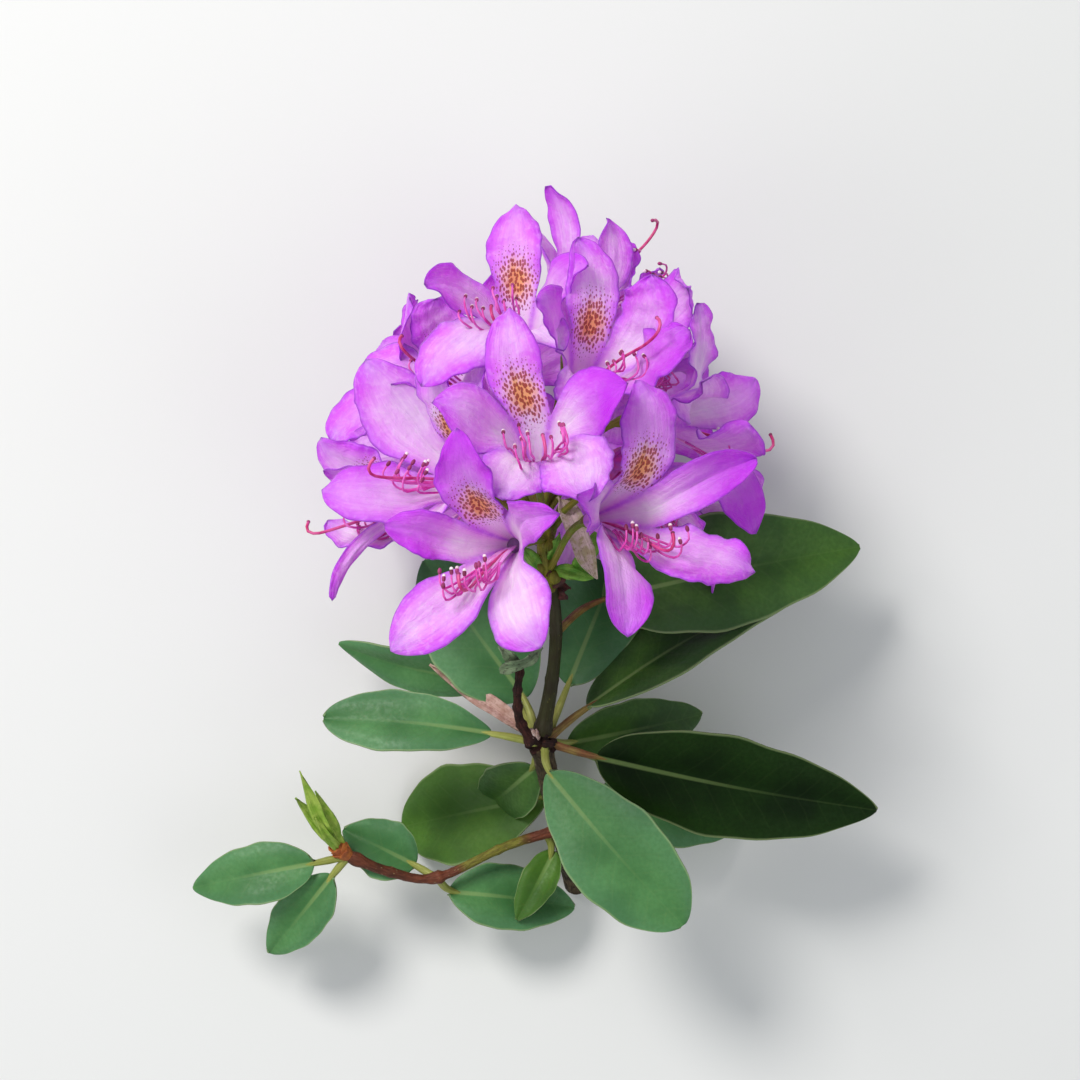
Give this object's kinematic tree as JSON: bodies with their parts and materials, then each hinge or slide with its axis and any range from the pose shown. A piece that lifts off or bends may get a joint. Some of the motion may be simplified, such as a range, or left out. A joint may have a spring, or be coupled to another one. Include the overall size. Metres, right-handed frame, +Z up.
{
  "type": "cut flowering rhododendron branch",
  "caption": "Cut flowering branch: a rounded truss of funnel blooms on a green stalk above a whorl of oblong leathery leaves, with a side twig and a bent woody stem.",
  "frame": {"origin": "middle of the bounding box's underside, on the surface that the branch lies on", "axes": "+Z up, the way the truss faces; +Y from the cut stem towards the top of the truss"},
  "size_m": [0.1996, 0.2218, 0.1512],
  "materials": {
    "petal": "soft satin petal, pale throat, purple rim",
    "bud_petal": "satin magenta bud",
    "leaf": "leathery semi-gloss leaf",
    "leaf_dark": "leathery semi-gloss leaf, shaded",
    "leaf_lime": "young satin leaf",
    "green_stalk": "smooth green stalk",
    "bark": "matt brown bark",
    "spent_wood": "matt dark dead wood",
    "scale": "dry brown bud scale",
    "pale_bud": "matt pale bud",
    "dry_leaf": "dry papery leaf",
    "grey_leaf": "dry curled leaf"
  },
  "bodies": {
    "root": {"stem": "bark", "flower_stalk": "green_stalk", "truss_axis": "green_stalk", "side_twig": "bark", "spent_stalk": "spent_wood", "bud_scales": "scale", "whorl_bud": "pale_bud", "twig_shoots": "leaf_lime", "bloom_01": "petal", "bloom_02": "petal", "bloom_03": "petal", "bloom_04": "petal", "bloom_05": "petal", "bloom_06": "petal", "bloom_07": "petal", "bloom_08": "petal", "bloom_09": "petal", "bloom_10": "petal", "bloom_11": "petal", "bloom_12": "petal", "bloom_13": "petal", "bloom_14": "petal", "bloom_15": "petal", "bloom_16": "petal", "bloom_17": "petal", "bloom_18": "petal", "closed_flower": "bud_petal", "bract": "dry_leaf", "spent_leaf": "grey_leaf", "dry_leaf": "dry_leaf", "leaf_left": "leaf", "leaf_front": "leaf", "leaf_right": "leaf", "leaf_right_upper": "leaf_dark", "leaf_right_top": "leaf_dark", "leaf_back_left": "leaf", "leaf_left_top": "leaf", "leaf_back": "leaf", "leaf_dark_right": "leaf_dark", "leaf_dark_below": "leaf_dark", "leaf_lime": "leaf_lime", "leaf_prop": "leaf", "twig_leaf_1": "leaf", "twig_leaf_2": "leaf", "twig_leaf_3": "leaf", "twig_leaf_4": "leaf", "twig_leaf_5": "leaf_lime"}
  },
  "joints": []
}
